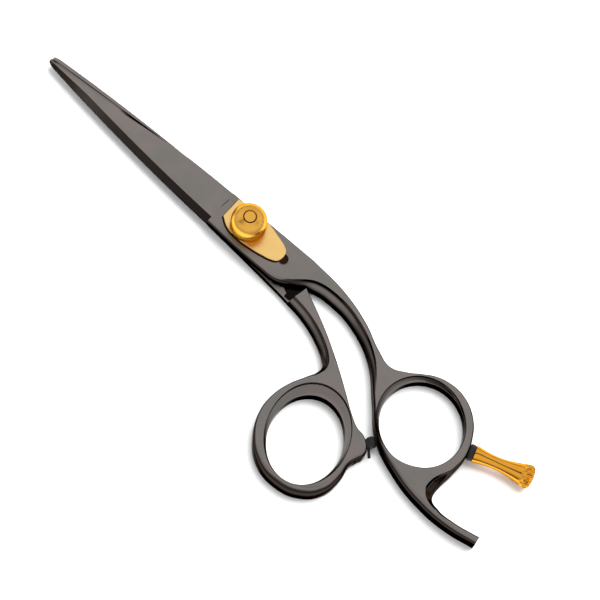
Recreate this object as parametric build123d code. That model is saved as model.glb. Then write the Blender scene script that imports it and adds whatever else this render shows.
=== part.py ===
from build123d import *
from math import cos, hypot, radians, sin
import os

os.makedirs("parts", exist_ok=True)

# Hair cutting shears, closed and lying on their underside, in millimetres.
# Origin: on the pivot axis at the underside. +X runs to the blade tips, +Y to the thumb ring, +Z up.

# heights
RIDE = 2.7            # plane on which the two halves ride on each other
RIDE_GAP = 0.02       # each half stands this far off the ride plane
TOP = 5.4             # top face of the finger half
THUMB_TOP = 5.2       # top of the thumb shank and ring
TIP_THICKNESS = 1.3   # thickness of each blade at its tip
RIDE_RADIUS = 22.5    # inside this radius from the pivot each half is only half as thick
STEP_GAP = 0.15       # play between that radius and the full-thickness shanks

# blades
BLADE_START = 9.0
BLADE_END = 71.0
BLADE_STATIONS = 7
SPINE_BEVEL = 1.0     # plan width of the bevel along a spine
EDGE_BEVEL = 0.9      # plan width of the steep bevel along a cutting edge
EDGE_LAND = 0.12      # thickness left at a cutting edge
HOLLOW_DEPTH = 0.15   # hollow ground into each ride face
CHOIL = (8.3, -4.9)   # notch at the heel of the finger blade's cutting edge
CHOIL_RADIUS = 0.45
RIDE_LINE = 1.2       # flat left beside the hollow

# finger ring and thumb ring
FINGER_RING = (-69.0, 10.5)
FINGER_RING_BORE = (11.7, 11.2)
FINGER_RING_TURN = 140.0
FINGER_RING_OUTER = 13.6
TANG_END_ROUND = 0.7
THUMB_RING = (-49.0, 33.8)
THUMB_RING_BORE = (12.2, 10.0)
THUMB_RING_TURN = 112.0
DISH_CENTRE = (-48.5, 32.4)
DISH_RIM = (14.0, 11.0)
DISH_DEPTH = 1.7
EDGE_ROUND = 0.5      # rounding of the handle edges

# pivot screw, bush and washer
SCREW_HEAD_RADIUS = 4.0
SCREW_HEAD_HEIGHT = 1.2
SPANNER_HOLE = 0.5    # radius of two blind holes in the head for a pin spanner
SPANNER_OFFSET = 2.7
SPANNER_DEPTH = 0.7
SHOULDER_RADIUS = 2.2
SHOULDER_FLATS = 3.4  # across the two flats that key the screw to the finger half
THREAD_RADIUS = 1.5
BUSH_RADIUS = 3.2
RUNNING = 0.03        # radial play of a turning fit
AXIAL_PLAY = 0.05     # play along the pivot axis
GLIDE_RADIUS = 4.7
GLIDE_THICKNESS = 0.5

# tension plate and knob
PLATE_THICKNESS = 0.55
PLATE_FRONT = 6.8     # square end of the leaf, towards the blades
PLATE_TAIL = -12.5    # short straight end of the leaf, which bears on its pin
PIN_CENTRE = (-12.85, 0.5)
PIN_HEAD_RADIUS = 1.35
PIN_HEAD_HEIGHT = 0.45
PIN_SERRATIONS = 16
PIN_SERRATION = 0.1
PIN_STEM = (-13.2, 0.5)
PIN_STEM_RADIUS = 0.6
PIN_STEM_DEPTH = 1.4
KNOB_RADIUS = 4.85
KNOB_FOOT = 0.3       # bevel round the foot
KNOB_SKIRT = 4.2      # height of the straight side below the dome
KNOB_DOME = 3.0
KNOB_FLUTES = 40
KNURL_DEPTH = 0.18
KNURL_HEIGHT = 2.6
KNOB_BASE = TOP + PLATE_THICKNESS + AXIAL_PLAY

# finger rest
REST_ROOT = (-82.55, 7.6)
REST_END = (-99.3, 2.2)
REST_HEIGHT = 3.35
REST_WASHER = 1.5     # thickness of the rubber washer at the rest's root
REST_WASHER_RADIUS = 2.2
REST_ROOT_RADIUS = 2.3
REST_NECK_RADIUS = 1.7
REST_FLARE_RADIUS = 3.2
REST_RIM = 1.1
REST_BORE_DEPTH = 4.0
REST_STUD_RADIUS = 1.25
REST_STUD_DEPTH = 1.6
REST_SPOT_RADIUS = 2.5  # flat spot-faced on the ring for the washer

# rubber stop on the thumb half's lobe
STOP_SEAT = (-61.0, 24.25)
STOP_AXIS = (-0.53, -0.85)
STOP_HEIGHT = 2.6
STOP_RADIUS = 1.6
STOP_LENGTH = 3.2
STOP_ROUND = 0.4
STOP_TAIL_START = (-62.0, 23.6)
STOP_TAIL_END = (-64.3, 26.2)
STOP_TAIL_RADIUS = 0.4
STOP_STEM_RADIUS = 0.7
STOP_STEM_LENGTH = 2.0


def slab(face, low, high):
    """The plan face, extruded from one height to another."""
    return Pos(0, 0, low) * extrude(face, high - low)


def disc(radius, low, high):
    """A round slab on the pivot axis."""
    return slab(Circle(radius).face(), low, high)


def on_circle(centre, radius, degrees):
    """A point on a circle in plan."""
    return (centre[0] + radius * cos(radians(degrees)), centre[1] + radius * sin(radians(degrees)))


def curve(points, leaving, arriving):
    """A smooth curve through the points, leaving and arriving in the given directions."""
    return Spline(*points, tangents=[leaving, arriving], tangent_scalars=(1, 1))


def rounded(solid, low, high, radius):
    """The solid with its edges at the two given heights rounded."""
    rims = [e for e in solid.edges() if abs(e.center().Z - low) < 1e-4 or abs(e.center().Z - high) < 1e-4]
    return solid.fillet(radius, rims)


# ---- blades ----

def upper_spine(x):
    """Spine of the finger blade, on its +Y side."""
    return 6.0 - 0.0766 * (x - 8) - 0.00073 * (x - 8) * (x - 40)


def upper_edge(x):
    """Cutting edge of the finger blade, on its -Y side."""
    return -4.85 + 0.0147 * (x - 8) + 0.00083 * (x - 8) * (x - 30) - 0.0000065 * (x - 8) * (x - 30) * (x - 50)


def lower_spine(x):
    """Spine of the thumb blade, on its -Y side."""
    return -5.1 + 0.0078 * (x - 8) + 0.00075 * (x - 8) * (x - 40)


def lower_edge(x):
    """Cutting edge of the thumb blade, hidden under the finger blade."""
    return 5.3 - 0.1050 * (x - 8) - 0.00012 * (x - 8) * (x - 40)


def blade_section(x, spine, edge, thickness):
    """Clamshell section of a blade at x, with its ride face on the plane and its back above."""
    side = 1 if spine > edge else -1
    width = abs(spine - edge)
    bevel = min(SPINE_BEVEL, 0.3 * width)
    fall = min(EDGE_BEVEL, 0.25 * width)
    land = min(RIDE_LINE, 0.2 * width)
    hollow = HOLLOW_DEPTH * width / 11
    points = [
        (spine, 0),
        (spine, 0.45 * thickness),
        (spine - side * bevel, thickness),
        (edge + side * fall, 0.96 * thickness),
        (edge, EDGE_LAND),
        (edge, 0),
        (edge + side * land, 0),
        ((spine + edge) / 2, hollow),
        (spine - side * land, 0),
    ]
    return Plane.YZ.offset(x) * make_face(Polyline(*points, close=True))


def blade(spine, edge):
    """A hollow-ground blade whose thickness falls from the root to the tip."""
    full = TOP - RIDE - RIDE_GAP
    sections = []
    for i in range(BLADE_STATIONS):
        share = i / (BLADE_STATIONS - 1)
        x = BLADE_START + share * (BLADE_END - BLADE_START)
        thickness = full + share * (TIP_THICKNESS - full)
        sections.append(blade_section(x, spine(x), edge(x), thickness))
    return loft(sections)


# ---- finger half ----

def finger_outline():
    """Plan of the finger half behind the blade: body, shank, finger ring and tang."""
    start = (BLADE_START, -4.8)
    heel = (-19, -4.8)
    ring_start = on_circle(FINGER_RING, FINGER_RING_OUTER, -50)
    ring_low = on_circle(FINGER_RING, FINGER_RING_OUTER, -105)
    ring_end = on_circle(FINGER_RING, FINGER_RING_OUTER, -155)
    tang_low = (-98.9, 23.9)
    tang_high = (-99.5, 26.1)
    hip = (-10, 6.5)
    shoulder = (BLADE_START, 5.95)
    under = [heel, (-30.3, -3.7), (-40.3, -0.9), (-48, 2.8), (-52.8, 4.2), (-57, 2.4), ring_start]
    crook = [ring_end, (-83.2, 10), (-83.3, 15), (-82.8, 20), (-83.6, 23.6), (-86.4, 25.2), (-91, 25.3), tang_low]
    back = [tang_high, (-91, 27.6), (-82, 27.5), (-72, 25.4), (-62, 20.75), (-55, 13.6), (-47.5, 6.2), (-38, 1.7),
            (-30, 0.55), (-24, 1.2), (-19, 4.0), (-15, 6.2), hip]
    lines = [
        Line(start, heel),
        curve(under, (-1, 0), (-0.766, -0.643)),
        ThreePointArc(ring_start, ring_low, ring_end),
        curve(crook, (-0.423, 0.906), (-1, -0.24)),
        Line(tang_low, tang_high),
        curve(back, (1, 0.24), (1, -0.029)),
        Line(hip, shoulder),
        Line(shoulder, start),
    ]
    return make_face(lines)


def finger_ring_bore():
    """The opening of the finger ring, a little flatter towards the shank."""
    return Pos(*FINGER_RING) * Rot(0, 0, FINGER_RING_TURN) * Ellipse(*FINGER_RING_BORE).face()


def rest_place(distance):
    """The finger rest's axis, at a distance out from its root, with Z along it."""
    along = Vector(REST_END[0] - REST_ROOT[0], REST_END[1] - REST_ROOT[1], 0).normalized()
    root = Vector(REST_ROOT[0], REST_ROOT[1], REST_HEIGHT)
    return Plane(origin=root + along * distance, x_dir=(0, 0, 1), z_dir=along)


def keyed_shoulder(radius, flats, low, high):
    """A round with two flats, which locks the screw to the finger half."""
    return slab(Circle(radius).face() & Rectangle(3 * radius, flats).face(), low, high)


def finger_blade():
    """The finger half, one forging: blade, body, shank, ring and little-finger tang."""
    low = RIDE + RIDE_GAP
    whole = slab(finger_outline() - finger_ring_bore(), 0, TOP)
    tang_end = [e for e in whole.edges().filter_by(Axis.Z) if e.center().X < -98]
    whole = rounded(whole.fillet(TANG_END_ROUND, tang_end), 0, TOP, EDGE_ROUND)
    body = whole - disc(RIDE_RADIUS + STEP_GAP, -1, low)
    half = body + Pos(0, 0, low) * blade(upper_spine, upper_edge)
    half -= keyed_shoulder(SHOULDER_RADIUS, SHOULDER_FLATS, low, TOP)
    half -= disc(GLIDE_RADIUS, low, low + GLIDE_THICKNESS)
    half -= Pos(*PIN_STEM) * disc(PIN_STEM_RADIUS + RUNNING, TOP - PIN_STEM_DEPTH, TOP)
    half -= Pos(*CHOIL) * disc(CHOIL_RADIUS, low, TOP)
    half -= rest_place(-REST_STUD_DEPTH) * Cylinder(REST_STUD_RADIUS + RUNNING, 2 * REST_STUD_DEPTH)
    half -= rest_place(2) * Cylinder(REST_SPOT_RADIUS, 4)
    return half


# ---- thumb half ----

def thumb_outline():
    """Plan of the thumb half behind the blade: body, shank, lobe for the stop, and thumb ring."""
    start = (BLADE_START, -5.1)
    heel = (-3, -5.1)
    lobe_low = (-59.7, 23.0)
    lobe_high = (-62.5, 25.3)
    ring_top = (-50.5, 48.1)
    hip = (-12, 7.0)
    shoulder = (BLADE_START, 5.2)
    under = [heel, (-12, -3.2), (-19, 0.4), (-25, 3.5), (-32, 6.9), (-40, 11.5), (-48, 16.8), (-54, 21.0), lobe_low]
    outside = [lobe_high, (-63.2, 26.8), (-62.5, 29), (-61.85, 31.4), (-62.5, 35.5), (-61.6, 41.4), (-57.5, 46),
               ring_top]
    back = [ring_top, (-43.5, 46.7), (-38, 41.9), (-35.2, 36.2), (-34.8, 30.6), (-36.1, 25.2), (-38.3, 20.6),
            (-39.5, 17.6), (-39.3, 15.3), (-37.6, 13.5), (-34, 11.4), (-28, 9.15), (-20, 7.8), hip]
    lines = [
        Line(start, heel),
        curve(under, (-1, 0), (-1, 0.15)),
        Line(lobe_low, lobe_high),
        curve(outside, (-0.6, 0.8), (1, 0)),
        curve(back, (1, 0), (1, -0.0857)),
        Line(hip, shoulder),
        Line(shoulder, start),
    ]
    return make_face(lines)


def thumb_ring_bore():
    """The oval opening of the thumb ring."""
    return Pos(*THUMB_RING) * Rot(0, 0, THUMB_RING_TURN) * Ellipse(*THUMB_RING_BORE).face()


def thumb_dish():
    """The wide sloping seat that leads into the thumb ring from above."""
    rim = Pos(*DISH_CENTRE, THUMB_TOP) * Rot(0, 0, THUMB_RING_TURN) * Ellipse(*DISH_RIM).face()
    floor = Pos(*THUMB_RING, THUMB_TOP - DISH_DEPTH) * Rot(0, 0, THUMB_RING_TURN) * Ellipse(*THUMB_RING_BORE).face()
    return loft([floor, rim])


def stop_place(distance):
    """The rubber stop's axis, at a distance out from the lobe, with Z along it towards the finger half."""
    along = Vector(*STOP_AXIS, 0).normalized()
    seat = Vector(*STOP_SEAT, STOP_HEIGHT)
    return Plane(origin=seat + along * distance, x_dir=(0, 0, 1), z_dir=along)


def thumb_blade():
    """The thumb half, one forging: blade, body, shank, stop lobe and thumb ring."""
    high = RIDE - RIDE_GAP
    whole = slab(thumb_outline() - thumb_ring_bore(), 0, THUMB_TOP)
    whole = rounded(whole, 0, THUMB_TOP, EDGE_ROUND)
    body = whole - disc(RIDE_RADIUS + STEP_GAP, high, THUMB_TOP + 1)
    body -= thumb_dish()
    half = body + Pos(0, 0, high) * mirror(blade(lower_spine, lower_edge), Plane.XY)
    half -= disc(BUSH_RADIUS, SCREW_HEAD_HEIGHT, high)
    half -= disc(SCREW_HEAD_RADIUS + RUNNING, 0, SCREW_HEAD_HEIGHT + AXIAL_PLAY)
    half -= stop_place(-STOP_STEM_LENGTH / 2) * Cylinder(STOP_STEM_RADIUS, STOP_STEM_LENGTH)
    half -= stop_place(2) * Cylinder(STOP_RADIUS + 0.2, 4)
    return half


# ---- pivot ----

def pivot_screw():
    """The pivot screw: flat head below, keyed shoulder, and a threaded end that shows in the knob."""
    low = RIDE + RIDE_GAP
    screw = disc(SCREW_HEAD_RADIUS, 0, SCREW_HEAD_HEIGHT) + disc(SHOULDER_RADIUS, 0, low)
    screw += keyed_shoulder(SHOULDER_RADIUS, SHOULDER_FLATS, 0, TOP)
    screw += disc(THREAD_RADIUS, 0, KNOB_BASE + KNOB_SKIRT + KNOB_DOME)
    spanner_holes = disc(SPANNER_HOLE, 0, SPANNER_DEPTH)
    for side in (-1, 1):
        screw -= Pos(side * SPANNER_OFFSET, 0, 0) * spanner_holes
    return screw


def pivot_bush():
    """The liner pressed into the thumb half, which turns on the screw's shoulder."""
    low = SCREW_HEAD_HEIGHT + AXIAL_PLAY
    high = RIDE - RIDE_GAP
    return disc(BUSH_RADIUS, low, high) - disc(SHOULDER_RADIUS + RUNNING, low, high)


def glide_washer():
    """The thin ring set into the finger half, on which the thumb half glides."""
    low = RIDE + RIDE_GAP
    high = low + GLIDE_THICKNESS
    return disc(GLIDE_RADIUS - RUNNING, low, high) - disc(SHOULDER_RADIUS + RUNNING, low, high)


# ---- tension system ----

def tension_plate():
    """The leaf under the knob: cut square towards the blades, drawn to a blunt tail that bears on its pin."""
    front_low = (PLATE_FRONT, -4.2)
    front_high = (PLATE_FRONT, 2.1)
    tail_low = (PLATE_TAIL, -0.3)
    tail_high = (PLATE_TAIL, 1.0)
    right = [front_low, (3.4, -4.7), (0, -4.7), (-5, -4.05), (-8, -3.25), (-11, -2.25), (-12.15, -1.35), tail_low]
    left = [tail_high, (-12.0, 2.1), (-11, 2.75), (-8, 3.6), (-4, 4.2), (0, 4.4), (4, 3.8), front_high]
    lines = [
        Line(front_high, front_low),
        curve(right, (-1, -0.2), (-0.1, 1)),
        Line(tail_low, tail_high),
        curve(left, (0.1, 1), (1, -0.7)),
    ]
    return slab(make_face(lines) - Circle(THREAD_RADIUS + RUNNING).face(), TOP, TOP + PLATE_THICKNESS)


def plate_pin():
    """The small pin that keeps the leaf from turning: a serrated head, cut flat where the leaf bears on it."""
    head = Circle(PIN_HEAD_RADIUS).face()
    for place in PolarLocations(PIN_HEAD_RADIUS, PIN_SERRATIONS):
        head -= place * Circle(PIN_SERRATION).face()
    outside = Pos(PLATE_TAIL - RUNNING - PIN_HEAD_RADIUS, PIN_CENTRE[1]) * Rectangle(
        2 * PIN_HEAD_RADIUS, 3 * PIN_HEAD_RADIUS).face()
    head = (Pos(*PIN_CENTRE) * head) & outside
    stem = Pos(*PIN_STEM) * disc(PIN_STEM_RADIUS, TOP - PIN_STEM_DEPTH, TOP)
    return slab(head, TOP, TOP + PIN_HEAD_HEIGHT) + stem


def tension_knob():
    """The thumb wheel: knurled at the foot, a smooth band above it, and a domed top round the screw."""
    bore = THREAD_RADIUS + RUNNING
    profile = make_face([
        Line((bore, 0), (KNOB_RADIUS - KNOB_FOOT, 0)),
        Line((KNOB_RADIUS - KNOB_FOOT, 0), (KNOB_RADIUS, KNOB_FOOT)),
        Line((KNOB_RADIUS, KNOB_FOOT), (KNOB_RADIUS, KNOB_SKIRT)),
        curve([(KNOB_RADIUS, KNOB_SKIRT), (3.9, KNOB_SKIRT + 0.75 * KNOB_DOME), (bore, KNOB_SKIRT + KNOB_DOME)],
              (0, 1), (-1, 0.12)),
        Line((bore, KNOB_SKIRT + KNOB_DOME), (bore, 0)),
    ])
    knob = revolve(Plane.XZ * profile, Axis.Z)
    flute = Circle(KNURL_DEPTH).face()
    flutes = [place * flute for place in PolarLocations(KNOB_RADIUS, KNOB_FLUTES)]
    knob -= extrude(Sketch() + flutes, KNURL_HEIGHT)
    return Pos(0, 0, KNOB_BASE) * knob


# ---- rubber stop ----

def stop_bumper():
    """The rubber stop: a plug in the lobe, a round head that meets the finger half, and a short tail."""
    head = Cylinder(STOP_RADIUS, STOP_LENGTH, align=(Align.CENTER, Align.CENTER, Align.MIN))
    head = head.fillet(STOP_ROUND, head.edges().group_by(Axis.Z)[-1])
    stem_length = STOP_STEM_LENGTH - AXIAL_PLAY
    stem = Pos(0, 0, -stem_length / 2) * Cylinder(STOP_STEM_RADIUS - RUNNING, stem_length)
    run = Vector(*STOP_TAIL_END) - Vector(*STOP_TAIL_START)
    root = Plane(origin=(*STOP_TAIL_START, STOP_HEIGHT), z_dir=run)
    tail = root * Cylinder(STOP_TAIL_RADIUS, run.length, align=(Align.CENTER, Align.CENTER, Align.MIN))
    return stop_place(0) * head + stop_place(0) * stem + tail


# ---- finger rest ----

def finger_rest():
    """The trumpet-shaped rest for the little finger, hollow at the root for its stud."""
    length = hypot(REST_END[0] - REST_ROOT[0], REST_END[1] - REST_ROOT[1]) - REST_WASHER
    bore = REST_STUD_RADIUS + RUNNING
    profile = make_face([
        Line((0, REST_BORE_DEPTH), (bore, REST_BORE_DEPTH)),
        Line((bore, REST_BORE_DEPTH), (bore, 0)),
        Line((bore, 0), (REST_ROOT_RADIUS, 0)),
        curve([(REST_ROOT_RADIUS, 0), (REST_NECK_RADIUS, 0.42 * length), (REST_FLARE_RADIUS, length - REST_RIM)],
              (-0.05, 1), (0.6, 1)),
        ThreePointArc((REST_FLARE_RADIUS, length - REST_RIM), (REST_FLARE_RADIUS - 0.15, length - 0.35 * REST_RIM),
                      (REST_FLARE_RADIUS - 0.8, length)),
        Line((REST_FLARE_RADIUS - 0.8, length), (0, length + 0.35)),
        Line((0, length + 0.35), (0, REST_BORE_DEPTH)),
    ])
    return rest_place(REST_WASHER) * revolve(Plane.XZ * profile, Axis.Z)


def finger_rest_stud():
    """The threaded stud that joins the rest to the finger ring."""
    length = REST_STUD_DEPTH + REST_WASHER + REST_BORE_DEPTH - 4 * AXIAL_PLAY
    stud = Cylinder(REST_STUD_RADIUS, length, align=(Align.CENTER, Align.CENTER, Align.MIN))
    return rest_place(2 * AXIAL_PLAY - REST_STUD_DEPTH) * stud


def finger_rest_washer():
    """The rubber washer between the rest and the finger ring."""
    ring = Circle(REST_WASHER_RADIUS).face() - Circle(REST_STUD_RADIUS + RUNNING).face()
    return rest_place(0) * slab(ring, AXIAL_PLAY, REST_WASHER - AXIAL_PLAY)


pieces = {
    "finger_blade": finger_blade(),
    "thumb_blade": thumb_blade(),
    "pivot_screw": pivot_screw(),
    "pivot_bush": pivot_bush(),
    "glide_washer": glide_washer(),
    "tension_plate": tension_plate(),
    "plate_pin": plate_pin(),
    "tension_knob": tension_knob(),
    "stop_bumper": stop_bumper(),
    "finger_rest": finger_rest(),
    "finger_rest_stud": finger_rest_stud(),
    "finger_rest_washer": finger_rest_washer(),
}
for node, piece in pieces.items():
    export_step(piece, f"parts/{node}.step")
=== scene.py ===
from math import atan2, cos, hypot, pi, radians, sin

import bmesh
import bpy
from mathutils import Matrix, Vector


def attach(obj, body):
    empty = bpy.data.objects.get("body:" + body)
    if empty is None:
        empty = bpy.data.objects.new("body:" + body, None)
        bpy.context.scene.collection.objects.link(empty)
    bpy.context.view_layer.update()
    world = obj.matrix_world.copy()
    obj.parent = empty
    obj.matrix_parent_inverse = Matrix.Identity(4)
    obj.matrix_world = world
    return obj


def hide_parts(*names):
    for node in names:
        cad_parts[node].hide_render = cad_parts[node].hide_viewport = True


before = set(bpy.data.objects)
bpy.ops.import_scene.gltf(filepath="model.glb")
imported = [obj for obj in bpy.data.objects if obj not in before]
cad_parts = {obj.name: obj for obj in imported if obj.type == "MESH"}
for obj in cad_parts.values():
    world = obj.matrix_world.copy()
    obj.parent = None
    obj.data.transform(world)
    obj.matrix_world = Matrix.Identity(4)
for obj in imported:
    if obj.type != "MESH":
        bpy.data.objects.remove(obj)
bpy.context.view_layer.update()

MM = 0.001

# ---------------------------------------------------------------------------
# Camera: a long lens, nearly straight down on the shears, tilted towards the thumb side.
# The blade tips are at the upper left and the rings at the lower right.
camera = bpy.data.objects.new("camera", bpy.data.cameras.new("camera"))
bpy.context.scene.collection.objects.link(camera)
bpy.context.scene.camera = camera
camera.data.lens = 150
camera.data.sensor_width = 36
camera.data.clip_start = 0.05
picture_right = Vector((-0.75852003, -0.64393165, 0.09999701))
picture_up = Vector((0.63626872, -0.69870147, 0.32707549))
towards_camera = Vector((-0.1407462, 0.31171828, 0.93969262))
looked_at = Vector((-23.0384, 5.2724, 2.6)) * MM
camera.matrix_world = Matrix.Translation(looked_at + 657.8947 * MM * towards_camera) @ Matrix(
    (picture_right, picture_up, towards_camera)).transposed().to_4x4()

# ---------------------------------------------------------------------------
# Finger half: one steel forging with the upper blade, the body, the shank, the finger ring and the tang
# for the little finger. Flats are satin-ground, the rest polished, and all of it has a dark hard coating; the
# sides and edges are also painted near black as shade.


def paint(hex_code):
    """The linear colour, with alpha, of an sRGB hex value."""
    channels = [int(hex_code[i:i + 2], 16) / 255 for i in (1, 3, 5)]
    return [c / 12.92 if c <= 0.04045 else ((c + 0.055) / 1.055) ** 2.4 for c in channels] + [1.0]


def add(material, kind, values=None, links=None, **settings):
    """Adds one node to a material, with its settings, input values and links, and gives it back."""
    tree = material.node_tree
    made = tree.nodes.new(kind)
    for name, value in settings.items():
        setattr(made, name, value)
    for socket, value in (values or {}).items():
        made.inputs[socket].default_value = value
    for socket, source in (links or {}).items():
        tree.links.new(source, made.inputs[socket])
    return made


def new_finish(name):
    """An empty material for a finish, with its output and its Object coordinates."""
    material = bpy.data.materials.new(name)
    material.use_nodes = True
    material.node_tree.nodes.clear()
    place = add(material, "ShaderNodeTexCoord")
    output = add(material, "ShaderNodeOutputMaterial")
    return material, place, output


def coated_steel():
    """Forged tool steel under a dark titanium coating. Faces turned up or down come out a soft satin taupe with faint
    brown and green clouds; edges, walls and hollows are polished, with sharp reflections, and painted near black as
    shade."""
    material, place, output = new_finish("coated_tool_steel_painted_wall_shade")
    # painted shade: every face that turns sideways, walls and edges, gets the near-black colour below instead of the
    # satin
    facing = add(material, "ShaderNodeSeparateXYZ", links={0: place.outputs["Normal"]})
    upright = add(material, "ShaderNodeMath", operation="ABSOLUTE", links={0: facing.outputs["Z"]})
    satin_flat_vs_painted_shade = add(material, "ShaderNodeMapRange", {"From Min": 0.78, "From Max": 0.97}, {"Value": upright.outputs[0]},
               interpolation_type="SMOOTHSTEP")
    # clouds in the coating, about 9 mm across
    clouds = add(material, "ShaderNodeTexNoise", {"Scale": 1 / (9 * MM), "Detail": 3.0, "Roughness": 0.55},
                 {"Vector": place.outputs["Object"]})
    satin = add(material, "ShaderNodeValToRGB", links={0: clouds.outputs["Fac"]})
    satin.color_ramp.elements[0].position = 0.36
    satin.color_ramp.elements[0].color = paint("#8B827F")
    satin.color_ramp.elements[1].position = 0.64
    satin.color_ramp.elements[1].color = paint("#827F7B")
    # grinding grain, really 0.05 mm, drawn at 0.5 mm so that it shows
    grain = add(material, "ShaderNodeTexNoise", {"Scale": 1 / (0.5 * MM), "Detail": 4.0, "Roughness": 0.7},
                {"Vector": place.outputs["Object"]})
    speckle = add(material, "ShaderNodeMapRange", {"To Min": 0.90, "To Max": 1.10}, {"Value": grain.outputs["Fac"]})
    grainy = add(material, "ShaderNodeMix", {"Factor": 1.0}, data_type="RGBA", blend_type="MULTIPLY",
                 links={"A": satin.outputs["Color"], "B": speckle.outputs["Result"]})
    # 332D2A is the painted shade of the walls and edges; the satin taupe is the flats' own colour
    colour = add(material, "ShaderNodeMix", {"A": paint("#332D2A")}, data_type="RGBA",
                 links={"Factor": satin_flat_vs_painted_shade.outputs["Result"], "B": grainy.outputs["Result"]})
    sheen = add(material, "ShaderNodeMapRange", {"To Min": 0.16, "To Max": 0.40}, {"Value": satin_flat_vs_painted_shade.outputs["Result"]})
    relief = add(material, "ShaderNodeBump", {"Strength": 0.12, "Distance": 0.02 * MM},
                 {"Height": grain.outputs["Fac"]})
    shader = add(material, "ShaderNodeBsdfPrincipled", {"Metallic": 1.0, "Specular Tint": paint("#8A8580")},
                 {"Base Color": colour.outputs["Result"], "Roughness": sheen.outputs["Result"],
                  "Normal": relief.outputs["Normal"]})
    material.node_tree.links.new(shader.outputs[0], output.inputs[0])
    return material


steel = coated_steel()
# The same coating over polished steel, at the bottom of the neck, with sharp reflections; its almost black colour is
# painted shade for the gap under the finger half.
# The polishing marks, really a few hundredths of a millimetre wide, are drawn at 0.8 mm so that they show.
pocket_polish_painted_shade, polished_place, polished_output = new_finish("polished_coated_steel_painted_shade")
polish_marks = add(pocket_polish_painted_shade, "ShaderNodeTexNoise", {"Scale": 1 / (0.8 * MM), "Detail": 3.0},
                   {"Vector": polished_place.outputs["Object"]})
polish_sheen = add(pocket_polish_painted_shade, "ShaderNodeMapRange", {"To Min": 0.12, "To Max": 0.22},
                   {"Value": polish_marks.outputs["Fac"]})
# painted shade: the near-black base colour stands for the shade in the gap under the finger half
pocket_shade_shader = add(pocket_polish_painted_shade, "ShaderNodeBsdfPrincipled",
                    {"Base Color": paint("#14110F"), "Metallic": 1.0, "Specular Tint": paint("#6A6560")},
                    {"Roughness": polish_sheen.outputs["Result"]})
pocket_polish_painted_shade.node_tree.links.new(pocket_shade_shader.outputs[0], polished_output.inputs[0])

# Heights in mm: the top of the forging, and the ride faces of the two halves with a hair's gap between.
# STEP_RADIUS is where each half steps from full thickness down to its ride face, round the pivot.
FULL_TOP = 5.4
RIDE_LOW, RIDE_HIGH = 2.68, 2.72
STEP_RADIUS = 22.65
OUTLINE_STEPS = 9


def smooth_outline(points, corners=()):
    """A closed smooth outline through points in mm. Each point is (x, y) and then any more values, such as
    how far its edge is rounded. It returns the outline's places and the values eased between the points."""
    curve = bpy.data.curves.new("outline", "CURVE")
    curve.dimensions = "3D"
    curve.resolution_u = OUTLINE_STEPS
    spline = curve.splines.new("BEZIER")
    spline.bezier_points.add(len(points) - 1)
    spline.use_cyclic_u = True
    sharp = [number in corners or number - len(points) in corners for number in range(len(points))]
    for knot, point, cornered in zip(spline.bezier_points, points, sharp):
        knot.co = (point[0] * MM, point[1] * MM, 0)
        knot.handle_left_type = knot.handle_right_type = "VECTOR" if cornered else "AUTO"
    holder = bpy.data.objects.new("outline", curve)
    traced = bpy.data.meshes.new_from_object(holder)
    bpy.data.objects.remove(holder)
    places = [vert.co.copy() for vert in traced.vertices]
    values = []
    for number, point in enumerate(points):
        after = points[(number + 1) % len(points)]
        steps = 1 if sharp[number] and sharp[(number + 1) % len(points)] else OUTLINE_STEPS
        for step in range(steps):
            values.append([m + (n - m) * step / steps for m, n in zip(point[2:], after[2:])])
    return places, values


def shown(name, shape, finish, body, sharp=32):
    """Turns a bmesh into a piece of the shears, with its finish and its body."""
    mesh = bpy.data.meshes.new(name)
    shape.to_mesh(mesh)
    shape.free()
    mesh.materials.append(finish)
    mesh.shade_smooth()
    mesh.set_sharp_from_angle(angle=radians(sharp))
    piece = bpy.data.objects.new(name, mesh)
    bpy.context.scene.collection.objects.link(piece)
    piece.modifiers.new("flats_stay_flat", "WEIGHTED_NORMAL").keep_sharp = True
    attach(piece, body)
    return piece


def oval_levels(shape, levels, segments=144):
    """Adds a closed shape of ovals stacked in z to a bmesh. A level is (z, centre, radii, turn in degrees)."""
    rims = []
    for z, centre, radii, turn in levels:
        place = (Matrix.Translation((centre[0] * MM, centre[1] * MM, z * MM)) @ Matrix.Rotation(radians(turn), 4, "Z")
                 @ Matrix.Diagonal((radii[0] * MM, radii[1] * MM, 1, 1)))
        ring = bmesh.ops.create_circle(shape, segments=segments, radius=1, matrix=place)["verts"]
        rims.append([e for e in shape.edges if e.verts[0] in ring and e.verts[1] in ring])
    for lower, upper in zip(rims, rims[1:]):
        bmesh.ops.bridge_loops(shape, edges=lower + upper)
    bmesh.ops.contextual_create(shape, geom=rims[0])
    bmesh.ops.contextual_create(shape, geom=rims[-1])
    bmesh.ops.recalc_face_normals(shape, faces=shape.faces)
    return shape


def ring_bore(centre, radii, turn, lip, top):
    """The straight opening of a ring, with rounded lips above and below, to be taken out of a forging."""
    levels = [(-0.6, centre, [r + 1.2 * lip for r in radii], turn)]
    for step in range(5):
        angle = pi / 2 * step / 4
        levels.append((lip * (1 - cos(angle)), centre, [r + lip * (1 - sin(angle)) for r in radii], turn))
    for step in range(5):
        angle = pi / 2 * step / 4
        levels.append((top - lip * (1 - sin(angle)), centre, [r + lip * (1 - cos(angle)) for r in radii], turn))
    levels.append((top + 0.6, centre, [r + 1.2 * lip for r in radii], turn))
    return oval_levels(bmesh.new(), levels)


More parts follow.
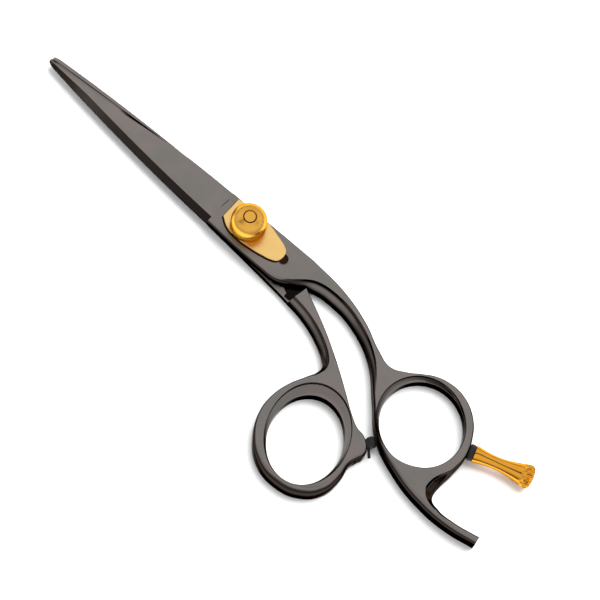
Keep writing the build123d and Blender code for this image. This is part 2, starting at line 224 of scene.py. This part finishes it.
def ring_seat(bore, rim, turn, depth, top):
    """The seat ground into the top of a ring for the finger: a gentle slope with a steep step round its rim.
    bore and rim are (centre, radii)."""
    (centre, radii), (rim_centre, rim_radii) = bore, rim
    levels = []
    for share, rise in ((0, 0), (0.3, 0.14), (0.6, 0.3), (0.88, 0.46), (0.95, 0.72), (1, 1)):
        middle = [m + share * (n - m) for m, n in zip(centre, rim_centre)]
        wide = [m + share * (n - m) for m, n in zip(radii, rim_radii)]
        levels.append((top - depth * (1 - rise), middle, wide, turn))
    levels.append((top + 0.5, rim_centre, [r + 0.1 for r in rim_radii], turn))
    return oval_levels(bmesh.new(), levels)


# The edge of a forging from its wall to its flat, as shares of its width and depth: a plain rounding, and
# the long shallow facet with a steep ridge that the shanks and the little finger's crook have.
ROUND_EDGE = [(1 - cos(radians(t)), 1 - sin(radians(t))) for t in (0, 12, 24, 36, 48, 60, 72, 82, 90)]
FACET_EDGE = [(0, 1), (0.02, 0.90), (0.14, 0.80), (0.34, 0.70), (0.56, 0.60), (0.78, 0.50), (0.86, 0.40),
              (0.93, 0.12), (1, 0)]
LOWER_ROUNDING = 0.45


def forged(points, corners, top, taken_out):
    """A forging raised from its outline, less some shapes. Each outline point is (x, y, width, depth, facet):
    how far its upper edge is worked inwards and down, and whether as a rounding, 0, or as a facet, 1. The
    loops are stacked one by one because the edge changes width all the way round, which a bevel can't do."""
    places, values = smooth_outline(points, corners)
    inwards = []
    for number, place in enumerate(places):
        along = (places[(number + 1) % len(places)] - places[number - 1]).normalized()
        inwards.append(Vector((-along.y, along.x, 0)))
    area = sum(p.x * q.y - q.x * p.y for p, q in zip(places, places[1:] + places[:1]))
    if area < 0:
        inwards = [-way for way in inwards]
    shape = bmesh.new()
    loops = []
    for share, rise in reversed(ROUND_EDGE):
        loops.append([place + way * LOWER_ROUNDING * share * MM + Vector((0, 0, LOWER_ROUNDING * rise * MM))
                      for place, way in zip(places, inwards)])
    for (plain, plain_drop), (facet, facet_drop) in zip(ROUND_EDGE, FACET_EDGE):
        loop = []
        for place, way, (width, depth, kind) in zip(places, inwards, values):
            share = plain + kind * (facet - plain)
            drop = plain_drop + kind * (facet_drop - plain_drop)
            loop.append(place + way * width * share * MM + Vector((0, 0, (top - depth * drop) * MM)))
        loops.append(loop)
    rims = []
    for loop in loops:
        ring = [shape.verts.new(place) for place in loop]
        rims.append([shape.edges.new((m, n)) for m, n in zip(ring, ring[1:] + ring[:1])])
    for lower, upper in zip(rims, rims[1:]):
        bmesh.ops.bridge_loops(shape, edges=lower + upper)
    bmesh.ops.contextual_create(shape, geom=rims[0])
    bmesh.ops.contextual_create(shape, geom=rims[-1])
    bmesh.ops.triangulate(shape, faces=[face for face in shape.faces if len(face.verts) > 4])
    bmesh.ops.recalc_face_normals(shape, faces=shape.faces)
    mesh = bpy.data.meshes.new("forging")
    shape.to_mesh(mesh)
    shape.free()
    blank = bpy.data.objects.new("forging", mesh)
    bpy.context.scene.collection.objects.link(blank)
    cutters = []
    for taken in taken_out:
        cut_mesh = bpy.data.meshes.new("cutter")
        taken.to_mesh(cut_mesh)
        taken.free()
        cutter = bpy.data.objects.new("cutter", cut_mesh)
        bpy.context.scene.collection.objects.link(cutter)
        cut = blank.modifiers.new("cut", "BOOLEAN")
        cut.operation = "DIFFERENCE"
        cut.solver = "MANIFOLD"
        cut.object = cutter
        cutters.append(cutter)
    finished = bpy.data.meshes.new_from_object(blank.evaluated_get(bpy.context.evaluated_depsgraph_get()))
    for used in cutters + [blank]:
        bpy.data.objects.remove(used)
    shape = bmesh.new()
    shape.from_mesh(finished)
    return shape


def pivot_disc(radius, low, high):
    """A round slab on the pivot axis, to be taken out of a forging."""
    shape = bmesh.new()
    bmesh.ops.create_cone(shape, cap_ends=True, segments=288, radius1=radius * MM, radius2=radius * MM,
                          depth=(high - low) * MM, matrix=Matrix.Translation((0, 0, (low + high) / 2 * MM)))
    return shape


def column(corners, low, high):
    """An upright column over a few corners in plan, to be taken out of a forging."""
    shape = bmesh.new()
    foot = shape.faces.new([shape.verts.new((x * MM, y * MM, low * MM)) for x, y in corners])
    raised = bmesh.ops.extrude_face_region(shape, geom=[foot])["geom"]
    top = [part for part in raised if isinstance(part, bmesh.types.BMVert)]
    bmesh.ops.translate(shape, vec=(0, 0, (high - low) * MM), verts=top)
    bmesh.ops.recalc_face_normals(shape, faces=shape.faces)
    return shape


def ground_blade(shape, stations, ride, lift):
    """Adds a clamshell blade to a bmesh: a satin back, a long bevel down to the spine, a bevel down to the
    edge that widens towards the tip, and a hollow ride face. A station is (x, spine, edge, thickness), and
    lift is 1 upwards and -1 downwards."""
    rims = []
    for x, spine, edge, thickness in stations:
        side = 1 if spine > edge else -1
        width = abs(spine - edge)
        bevel = min(1.7, 0.36 * width)
        fall = min(max(0.3, 0.3 + 0.053 * (x - 24)), 1.9, 0.5 * width)
        land = min(1.2, 0.2 * width)
        section = [
            (spine, 0.05 * thickness), (spine, 0.3 * thickness), (spine - side * bevel, thickness),
            (edge + side * fall, 0.985 * thickness), (edge + side * 0.3 * fall, 0.62 * thickness), (edge, 0.12),
            (edge + 0.02 * side, 0), (edge + side * land, 0), ((spine + edge) / 2, 0.014 * width),
            (spine - side * land, 0), (spine - side * 0.06, 0),
        ]
        ring = [shape.verts.new((x * MM, y * MM, (ride + lift * z) * MM)) for y, z in section]
        rims.append([shape.edges.new((m, n)) for m, n in zip(ring, ring[1:] + ring[:1])])
    for before, after in zip(rims, rims[1:]):
        bmesh.ops.bridge_loops(shape, edges=before + after)
    bmesh.ops.contextual_create(shape, geom=rims[0])
    bmesh.ops.contextual_create(shape, geom=rims[-1])


TIP_THICKNESS = 1.3


def blade_stations(spine, edge, thick, thin):
    """Stations along a blade from its root at x 9 to its rounded tip at x 71."""
    stations = []
    for x in (9, 14, 20, 24, 28, 32, 36, 40, 44, 48, 52, 56, 60, 63, 66, 68, 69, 69.8, 70.4, 70.8, 71):
        share = (x - 9) / 62
        pinch = max(0.0, (x - 69) / 2) ** 2 * 0.42
        middle = (spine(x) + edge(x)) / 2
        stations.append((x, spine(x) + pinch * (middle - spine(x)), edge(x) + pinch * (middle - edge(x)),
                         (thick + share * (thin - thick)) * (1 - 0.5 * pinch)))
    return stations


finger_ring = (-69.0, 10.5)
finger_outline = [
    (12, -4.8, 0.4, 0.6, 0), (-19, -4.8, 0.45, 0.6, 0), (-30.3, -3.7, 0.5, 0.6, 0), (-40.3, -0.9, 0.6, 0.7, 0),
    (-48, 2.8, 0.6, 0.6, 0), (-52.8, 4.2, 0.5, 0.5, 0), (-57, 2.4, 0.5, 0.5, 0), (-60.26, 0.08, 0.55, 0.6, 0),
    (-63.25, -1.82, 0.6, 0.7, 0), (-67.8, -3.05, 0.6, 0.7, 0), (-72.52, -2.64, 0.6, 0.7, 0),
    (-77.6, 0.0, 0.7, 0.8, 0), (-81.33, 4.75, 0.8, 0.9, 0), (-83.2, 10, 0.8, 1.1, 0), (-83.3, 15, 0.9, 1.8, 0.2),
    (-82.8, 20, 2.5, 4.2, 1), (-82.95, 22.2, 2.8, 4.4, 1), (-83.6, 23.6, 2.1, 4.0, 1),
    (-86.4, 25.2, 0.9, 1.4, 0.3), (-91, 25.3, 0.9, 1.1, 0),
    (-98.9, 23.9, 0.8, 0.9, 0), (-102, 23.2, 0.7, 0.7, 0), (-103.4, 24.2, 0.6, 0.6, 0), (-102.5, 25.5, 0.7, 0.7, 0),
    (-99.5, 26.1, 1.0, 1.0, 0), (-91, 27.6, 1.3, 1.3, 0), (-82, 27.5, 1.5, 1.4, 0), (-72, 25.4, 1.4, 1.3, 0),
    (-62, 20.75, 0.8, 0.8, 0), (-55, 13.6, 0.7, 0.8, 0), (-47.5, 6.2, 1.5, 1.6, 0.6), (-38, 1.7, 1.9, 2.2, 1),
    (-30, 0.55, 2.2, 2.2, 1), (-24, 1.2, 2.1, 2.1, 1), (-19, 4.0, 1.3, 1.6, 0.4), (-15, 6.2, 0.8, 0.9, 0),
    (-10, 6.5, 0.6, 0.6, 0), (12, 5.8, 0.6, 0.6, 0),
]
finger_bore = ring_bore(finger_ring, (11.7, 11.2), 140, 0.45, FULL_TOP)
finger_seat = ring_seat((finger_ring, (11.8, 11.3)), ((-68.1, 10.35), (12.3, 11.75)), 140, 1.5, FULL_TOP)
BELOW, ABOVE = -1, 8
BLADE_ROOT = [(9, -8), (14, -8), (14, 10), (9, 10)]
grind_line = column([(8.6, -2.6), (8.76, -2.6), (9.2, 1.6), (9.04, 1.6)], 4.8, 5.6)
tang_end = column([(-98.85, 22.5), (-99.75, 28.5), (-106, 28.5), (-106, 22.5)], BELOW, ABOVE)
finger_steel = forged(
    finger_outline, (0, 1, -1), FULL_TOP,
    [finger_bore, finger_seat, pivot_disc(STEP_RADIUS, BELOW, RIDE_HIGH), grind_line,
     column(BLADE_ROOT, BELOW, ABOVE), tang_end])
ground_blade(finger_steel, blade_stations(
    lambda x: 6.0 - 0.0766 * (x - 8) - 0.00073 * (x - 8) * (x - 40),
    lambda x: -4.85 + 0.0147 * (x - 8) + 0.00083 * (x - 8) * (x - 30) - 0.0000065 * (x - 8) * (x - 30) * (x - 50),
    FULL_TOP - RIDE_HIGH, TIP_THICKNESS), RIDE_HIGH, 1)
finger_half = shown("finger_half_forging", finger_steel, steel, "finger_half")
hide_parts("finger_blade")

# ---------------------------------------------------------------------------
# Thumb half: the lower forging, with the lower blade, a low plate under the pivot, the shank, a small lobe
# for the stop, and the thumb ring with its wide seat. Same steel and coating, with a polished hollow where
# the shank meets the finger half; the hollow's floor is painted near black as shade.
THUMB_TOP = 5.2
POCKET_FLOOR = 2.1
SCREW_HEAD_RADIUS, SCREW_HEAD_DEPTH = 4.03, 1.25
thumb_outline = [
    (12, -5.1, 0.4, 0.5, 0), (-3, -5.1, 0.4, 0.5, 0), (-12, -3.2, 0.4, 0.5, 0), (-19, 0.4, 0.4, 0.6, 0),
    (-25, 3.5, 0.4, 0.6, 0), (-32, 6.9, 0.4, 0.6, 0), (-40, 11.5, 0.4, 0.6, 0), (-48, 16.8, 0.4, 0.6, 0),
    (-54, 21.0, 0.4, 0.5, 0), (-57, 22.6, 0.45, 0.5, 0), (-59.5, 23.1, 0.5, 0.5, 0), (-61.4, 24.2, 0.6, 0.6, 0),
    (-62.7, 25.6, 0.8, 0.9, 0), (-63.1, 27.2, 1.0, 1.2, 0), (-62.5, 29, 1.1, 1.4, 0), (-61.85, 31.4, 1.2, 1.6, 0),
    (-62.5, 35.5, 1.7, 2.2, 0), (-61.6, 41.4, 2.0, 2.5, 0), (-57.5, 46, 2.2, 2.6, 0), (-50.5, 48.1, 2.2, 2.6, 0),
    (-43.5, 46.7, 1.5, 1.9, 0), (-38, 41.9, 0.9, 1.1, 0), (-35.2, 36.2, 0.6, 0.7, 0), (-34.8, 30.6, 0.5, 0.6, 0),
    (-36.1, 25.2, 0.5, 0.6, 0), (-38.3, 20.6, 0.6, 0.8, 0), (-39.5, 17.6, 1.0, 1.6, 0.2),
    (-39.3, 15.3, 1.3, 2.1, 0.7), (-37.6, 13.5, 1.5, 2.1, 1), (-34, 11.4, 1.7, 2.0, 1), (-28, 9.15, 1.8, 1.9, 1),
    (-20, 7.8, 1.8, 1.9, 1), (-12, 7.0, 0.5, 0.5, 1), (12, 5.0, 0.3, 0.3, 0),
]
thumb_bore = ring_bore((-49.0, 33.8), (12.2, 10.0), 112, 0.45, THUMB_TOP)
thumb_seat = ring_seat(((-49.0, 33.8), (12.3, 10.1)), ((-48.5, 32.45), (14.1, 11.2)), 112, 1.1, THUMB_TOP)
pocket = column([(-19.2, 7.4), (-19.1, 6.3), (-17.6, 5.6), (-14.6, 6.6), (-13, 5), (-17, 0), (-21, -1), (-22.6, 1),
                 (-22.2, 4), (-21.5, 6.8), (-20.8, 7.5)], POCKET_FLOOR, 2.9)
thumb_steel = forged(
    thumb_outline, (0, 1, -1), THUMB_TOP,
    [thumb_bore, thumb_seat, pocket, pivot_disc(STEP_RADIUS, RIDE_LOW, ABOVE),
     pivot_disc(SCREW_HEAD_RADIUS, BELOW, SCREW_HEAD_DEPTH), column(BLADE_ROOT, BELOW, ABOVE)])
ground_blade(thumb_steel, blade_stations(
    lambda x: -5.1 + 0.0078 * (x - 8) + 0.00075 * (x - 8) * (x - 40),
    lambda x: 5.3 - 0.1050 * (x - 8) - 0.00012 * (x - 8) * (x - 40),
    RIDE_LOW, TIP_THICKNESS), RIDE_LOW, -1)
bmesh.ops.recalc_face_normals(thumb_steel, faces=thumb_steel.faces)
# the hollow's floor takes the second finish, painted near black as shade
for face in thumb_steel.faces:
    if abs(face.calc_center_median().z - POCKET_FLOOR * MM) < 0.01 * MM:
        face.material_index = 1
thumb_half = shown("thumb_half_forging", thumb_steel, steel, "thumb_half")
thumb_half.data.materials.append(pocket_polish_painted_shade)
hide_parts("thumb_blade")

# ---------------------------------------------------------------------------
# Pivot: a plated screw whose end shows in the knob, a brass bush pressed into the thumb half, and a thin
# plastic ring that the halves glide on. The bush and the ring are out of sight.


def plated_gold(name, bright, deep, roughness, grain_mm, relief_strength):
    """Gold plate over brass. The plate thins a little here and there, so the colour drifts between two golds.
    The grain is really a few hundredths of a millimetre and is drawn at grain_mm so that it shows."""
    material, place, output = new_finish(name)
    drift = add(material, "ShaderNodeTexNoise", {"Scale": 1 / (4 * MM), "Detail": 2.0},
                {"Vector": place.outputs["Object"]})
    colour = add(material, "ShaderNodeMix", {"A": paint(deep), "B": paint(bright)}, data_type="RGBA",
                 links={"Factor": drift.outputs["Fac"]})
    grain = add(material, "ShaderNodeTexNoise", {"Scale": 1 / (grain_mm * MM), "Detail": 3.0},
                {"Vector": place.outputs["Object"]})
    sheen = add(material, "ShaderNodeMapRange", {"To Min": roughness * 0.8, "To Max": roughness * 1.2},
                {"Value": grain.outputs["Fac"]})
    relief = add(material, "ShaderNodeBump", {"Strength": relief_strength, "Distance": 0.02 * MM},
                 {"Height": grain.outputs["Fac"]})
    shader = add(material, "ShaderNodeBsdfPrincipled", {"Metallic": 1.0, "Specular Tint": paint("#B07A34")},
                 {"Base Color": colour.outputs["Result"], "Roughness": sheen.outputs["Result"],
                  "Normal": relief.outputs["Normal"]})
    material.node_tree.links.new(shader.outputs[0], output.inputs[0])
    return material


def plain_finish(name, hex_code, roughness, metallic, grain_mm):
    """A plain finish for small parts, with a grain in its shine that is drawn coarser than it is, at grain_mm,
    so that it shows."""
    material, place, output = new_finish(name)
    grain = add(material, "ShaderNodeTexNoise", {"Scale": 1 / (grain_mm * MM), "Detail": 3.0},
                {"Vector": place.outputs["Object"]})
    sheen = add(material, "ShaderNodeMapRange", {"To Min": roughness * 0.85, "To Max": roughness * 1.15},
                {"Value": grain.outputs["Fac"]})
    relief = add(material, "ShaderNodeBump", {"Strength": 0.15, "Distance": 0.02 * MM},
                 {"Height": grain.outputs["Fac"]})
    shader = add(material, "ShaderNodeBsdfPrincipled", {"Base Color": paint(hex_code), "Metallic": metallic},
                 {"Roughness": sheen.outputs["Result"], "Normal": relief.outputs["Normal"]})
    material.node_tree.links.new(shader.outputs[0], output.inputs[0])
    return material


# Satin plate gives wide soft highlights, turned brass and steel a plain low shine, and acetal a milky white.
knob_gold = plated_gold("satin_gold_plate", "#EDB552", "#DFA345", 0.30, 0.4, 0.10)
turned_brass = plain_finish("turned_brass", "#C9A25A", 0.3, 1.0, 0.3)
bearing_plastic = plain_finish("acetal_bearing_plastic", "#D8D4C8", 0.45, 0.0, 0.5)
turned_steel = plain_finish("turned_steel", "#8E8983", 0.3, 1.0, 0.3)


def coat_node(node, finish):
    """Gives a piece carried over from the CAD its finish."""
    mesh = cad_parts[node].data
    mesh.materials.clear()
    mesh.materials.append(finish)


coat_node("pivot_screw", knob_gold)
coat_node("pivot_bush", turned_brass)
coat_node("glide_washer", bearing_plastic)

# ---------------------------------------------------------------------------
# Tension leaf: a pale gold spring leaf under the knob, cut square towards the blades and drawn to a round
# tail, held by a serrated pin at the tail. Under it lies a thin near-black sheet a little wider than itself,
# shifted towards the thumb side and the blades: painted shadow along the leaf's edge. The leaf's gold is set
# paler than the knob's and reads as one even light face. The pin is coloured dark brown, as painted shade.
leaf_gold = plated_gold("bright_gold_plate", "#FBD48A", "#F4C679", 0.30, 0.8, 0.12)
# painted shadow and shade: a near-black brown for the thin sheet under the leaf and for the pin under its tail
dark_painted_shadow_finish = plain_finish("dark_painted_shadow", "#2A1E14", 0.35, 1.0, 0.3)
leaf_outline = [
    (6.8, -4.2), (3.4, -4.75), (0, -4.7), (-2.5, -4.5), (-5, -4.05), (-8, -3.25), (-11, -2.25), (-12.15, -1.35),
    (-12.5, -0.3), (-12.5, 0.9), (-12.0, 2.1), (-11, 2.75), (-8, 3.6), (-4, 4.2), (0, 4.4), (4, 3.8), (6.8, 2.1),
]


def sheared_leaf(points, low, high, rounding):
    """A sheet blank with its upper edge broken."""
    shape = bmesh.new()
    places, _ = smooth_outline(points, (0, -1))
    foot = shape.faces.new([shape.verts.new(place + Vector((0, 0, low * MM))) for place in places])
    raised = bmesh.ops.extrude_face_region(shape, geom=[foot])["geom"]
    top = [part for part in raised if isinstance(part, bmesh.types.BMVert)]
    bmesh.ops.translate(shape, vec=(0, 0, (high - low) * MM), verts=top)
    bmesh.ops.recalc_face_normals(shape, faces=shape.faces)
    upper = [edge for edge in shape.edges if edge.verts[0] in top and edge.verts[1] in top]
    bmesh.ops.bevel(shape, geom=upper, offset=rounding * MM, offset_type="OFFSET", segments=3, profile=0.5,
                    affect="EDGES", material=-1, clamp_overlap=True)
    return shape


# painted shadow: a thin near-black sheet, a little wider than the leaf and shifted towards the thumb side and the
# blades
painted_shadow_outline = [(x * 1.01 + 0.1, y * 1.02 + 0.38) for x, y in leaf_outline]
leaf = shown("tension_leaf", sheared_leaf(leaf_outline, 5.5, 5.95, 0.14), leaf_gold, "finger_half")
leaf_painted_shadow = shown("tension_leaf_painted_shadow", sheared_leaf(painted_shadow_outline, 5.39, 5.46, 0.02), dark_painted_shadow_finish, "finger_half")
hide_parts("tension_plate")
# the pin's dark brown is painted shade
coat_node("plate_pin", dark_painted_shadow_finish)

# ---------------------------------------------------------------------------
# Tension knob: a gold-plated thumb wheel turned from bar, ribbed round its foot, with a smooth band and a
# low dome. A groove round the screw's end shows as a dark circle in the middle of the dome.
KNOB_BASE = 6.0
KNOB_RADIUS = 4.85
DOME_FOOT, DOME_RISE = 3.8, 3.4
RIBS = 40


def turned(shape, profile, place=Matrix.Identity(4), steps=160):
    """Adds a lathe-turned shape to a bmesh. The profile is (radius, height) in mm, and place moves the axis."""
    standing = set(shape.verts)
    line = [shape.verts.new((radius * MM, 0, height * MM)) for radius, height in profile]
    edges = [shape.edges.new((a, b)) for a, b in zip(line, line[1:])]
    bmesh.ops.spin(shape, geom=line + edges, cent=(0, 0, 0), axis=(0, 0, 1), angle=2 * pi, steps=steps,
                   use_merge=True)
    bmesh.ops.transform(shape, matrix=place, verts=[vert for vert in shape.verts if vert not in standing])
    bmesh.ops.remove_doubles(shape, verts=shape.verts, dist=0.001 * MM)
    bmesh.ops.recalc_face_normals(shape, faces=shape.faces)
    return shape


def ribbed(shape, ribs, depth, strength):
    """Presses ribs into a turned shape. depth is a share of the radius, and strength gives 0 to 1 for a
    height and radius in mm."""
    for vert in shape.verts:
        share = strength(vert.co.z / MM, hypot(vert.co.x, vert.co.y) / MM)
        turn = atan2(vert.co.y, vert.co.x) * ribs
        dip = 1 - depth * share * (0.5 - 0.5 * cos(turn))
        vert.co.x *= dip
        vert.co.y *= dip


dome = []
for step in range(15):
    radius = KNOB_RADIUS * cos(radians(86 * step / 14)) ** 0.75
    if radius > 2.0:
        dome.append((radius, DOME_FOOT + DOME_RISE * (1 - (radius / KNOB_RADIUS) ** 2.6) ** (1 / 2.1)))
knob_profile = [(1.6, 0.0), (4.45, 0.0), (4.72, 0.2), (4.8, 0.45), (4.8, 1.2), (4.8, 2.0), (4.8, 2.5), (4.62, 2.66),
                (4.78, 2.84), (4.85, 3.05)] + dome + [(1.86, 7.17), (1.72, 7.0), (1.56, 6.4), (1.6, 0.0)]
knob_shape = turned(bmesh.new(), knob_profile)
ribbed(knob_shape, RIBS, 0.045, lambda height, radius: 1 if height < 2.55 and radius > 4.6 else 0)
bmesh.ops.translate(knob_shape, vec=(0, 0, KNOB_BASE * MM), verts=knob_shape.verts)
knob = shown("tension_knob_turned", knob_shape, knob_gold, "knob")
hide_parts("tension_knob")

# ---------------------------------------------------------------------------
# Rubber stop: a moulded black plug pushed into the lobe of the thumb half. Its round head meets the finger
# half when the blades close, and its pull-through tail is left on.
# Moulded rubber is matt and almost black.
moulded_rubber = plain_finish("moulded_black_rubber", "#080707", 0.6, 0.0, 0.4)
stop_seat = Vector((-61.0, 24.25, 2.6)) * MM
stop_way = Vector((-0.53, -0.85, 0)).normalized()
stop_shape = turned(
    bmesh.new(),
    [(0, -0.4), (1.1, -0.4), (1.35, 0.0), (1.5, 0.3), (1.3, 0.65), (1.35, 0.95), (1.6, 1.4), (1.62, 2.2), (1.45, 2.8),
     (1.0, 3.12), (0, 3.2)],
    Matrix.Translation(stop_seat) @ stop_way.to_track_quat("Z", "X").to_matrix().to_4x4(), 48)
tail_start, tail_end = Vector((-62.0, 23.6, 2.6)) * MM, Vector((-64.3, 26.2, 2.6)) * MM
tail_way = tail_end - tail_start
tail_length = tail_way.length / MM
turned(stop_shape,
       [(0, 0), (0.36, 0), (0.36, 0.6 * tail_length), (0.42, 0.85 * tail_length), (0.4, tail_length), (0, tail_length)],
       Matrix.Translation(tail_start) @ tail_way.to_track_quat("Z", "X").to_matrix().to_4x4(), 24)
stop = shown("rubber_stop", stop_shape, moulded_rubber, "thumb_half", 40)
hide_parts("stop_bumper")

# ---------------------------------------------------------------------------
# Finger rest: a gold-plated brass trumpet screwed into the finger ring through a black rubber washer. The
# waist is polished and the rim of the flare is ribbed for grip.
# Polished plate is deeper in colour than the knob's and shows dark and light lines along the waist.
rest_gold = plated_gold("polished_gold_plate", "#E9A63C", "#DB9630", 0.16, 1.2, 0.04)
rest_root = Vector((-82.55, 7.6, 3.35)) * MM
rest_way = Vector((-99.3 + 82.55, 2.2 - 7.6, 0)).normalized()
rest_place = Matrix.Translation(rest_root) @ rest_way.to_track_quat("Z", "X").to_matrix().to_4x4()
rest_profile = [(0, 1.5), (2.05, 1.5), (2.25, 1.65), (2.3, 1.9)]
for step in range(1, 15):
    share = step / 14
    rest_profile.append((1.70 + 0.60 * (1 - share / 0.42) ** 2 if share < 0.42 else
                         1.70 + 1.42 * ((share - 0.42) / 0.58) ** 1.7, 1.9 + 14.0 * share))
rest_profile += [(3.17, 16.25), (3.2, 16.6), (3.15, 17.0), (2.95, 17.35), (2.6, 17.7), (1.6, 18.0), (0, 18.15)]
rest_shape = turned(bmesh.new(), rest_profile)
RIM_RIBS = 36
RIM_LOW, RIM_HIGH, RIM_EASE = 14.9, 17.4, 0.6
ribbed(rest_shape, RIM_RIBS, 0.07, lambda height, radius:
       min(1, (height - RIM_LOW) / RIM_EASE) if RIM_LOW < height < RIM_HIGH else 0)
bmesh.ops.transform(rest_shape, matrix=rest_place, verts=rest_shape.verts)
rest = shown("finger_rest_turned", rest_shape, rest_gold, "rest")
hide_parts("finger_rest")
coat_node("finger_rest_stud", turned_steel)
washer_shape = turned(
    bmesh.new(), [(1.3, 0.05), (2.05, 0.05), (2.2, 0.25), (2.25, 0.75), (2.2, 1.25), (2.05, 1.45), (1.3, 1.45),
                  (1.3, 0.05)], rest_place, 64)
washer = shown("finger_rest_washer_ring", washer_shape, moulded_rubber, "rest")
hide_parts("finger_rest_washer")

# ---------------------------------------------------------------------------
# Studio: a white table, soft light from all round with one narrow dark gap overhead, and a broad lamp on the
# far side that drops a soft shadow towards the thumb side.
floor_shape = bmesh.new()
bmesh.ops.create_grid(floor_shape, x_segments=1, y_segments=1, size=1.5)
floor_mesh = bpy.data.meshes.new("table")
floor_shape.to_mesh(floor_mesh)
floor_shape.free()
table = bpy.data.objects.new("table", floor_mesh)
bpy.context.scene.collection.objects.link(table)
# Matt white laminate: no shine of its own, so that only the soft shadows show on it.
white_laminate, _, table_output = new_finish("white_laminate")
table_shader = add(white_laminate, "ShaderNodeBsdfPrincipled",
                   {"Base Color": paint("#F6F6F6"), "Roughness": 0.9, "Specular IOR Level": 0.1})
white_laminate.node_tree.links.new(table_shader.outputs[0], table_output.inputs[0])
floor_mesh.materials.append(white_laminate)

world = bpy.data.worlds.new("studio")
bpy.context.scene.world = world
world.use_nodes = True
world.node_tree.nodes.clear()
# The gap is a strip that stays where it is in the room, high over the shears, whatever view is taken. Its
# lengthwise ends fade out, and the sky grows dimmer towards the horizon.
way = add(world, "ShaderNodeTexCoord")
across = add(world, "ShaderNodeVectorMath", {1: (0.6486, -0.7608, 0.0206)}, {0: way.outputs["Generated"]},
             operation="DOT_PRODUCT")
off_gap = add(world, "ShaderNodeMath", links={0: across.outputs["Value"]}, operation="ABSOLUTE")
beside_gap = add(world, "ShaderNodeMapRange", {"From Min": 0.07, "From Max": 0.16}, {"Value": off_gap.outputs[0]},
                 interpolation_type="SMOOTHSTEP")
over_shears = add(world, "ShaderNodeVectorMath", {1: towards_camera}, {0: way.outputs["Generated"]},
                  operation="DOT_PRODUCT")
past_gap = add(world, "ShaderNodeMapRange", {"From Min": 0.80, "From Max": 0.55},
               {"Value": over_shears.outputs["Value"]}, interpolation_type="SMOOTHSTEP")
clear = add(world, "ShaderNodeMath", links={0: beside_gap.outputs["Result"], 1: past_gap.outputs["Result"]},
            operation="MAXIMUM")
high = add(world, "ShaderNodeSeparateXYZ", links={0: way.outputs["Generated"]})
upper_sky = add(world, "ShaderNodeMapRange", {"From Max": 0.6, "To Min": 0.35, "To Max": 1.0},
                {"Value": high.outputs["Z"]}, interpolation_type="SMOOTHSTEP")
brightness = add(world, "ShaderNodeMapRange", {"To Min": 0.05},
                 {"Value": clear.outputs[0], "To Max": upper_sky.outputs[0]})
sky = add(world, "ShaderNodeBackground", {"Color": (1, 1, 1, 1)}, {"Strength": brightness.outputs["Result"]})
sky_output = add(world, "ShaderNodeOutputWorld")
world.node_tree.links.new(sky.outputs[0], sky_output.inputs[0])

lamp = bpy.data.objects.new("broad_lamp", bpy.data.lights.new("broad_lamp", "AREA"))
bpy.context.scene.collection.objects.link(lamp)
lamp.data.shape = "DISK"
lamp.data.size = 0.65
lamp.data.energy = 7.5
lamp.visible_glossy = False
lamp_from = looked_at + 600 * MM * Vector((-0.05, -0.52, 0.85))
lamp_turn = (lamp_from - looked_at).to_track_quat("Z", "Y").to_matrix().to_4x4()
lamp.matrix_world = Matrix.Translation(lamp_from) @ lamp_turn
bpy.context.scene.view_settings.view_transform = "Standard"
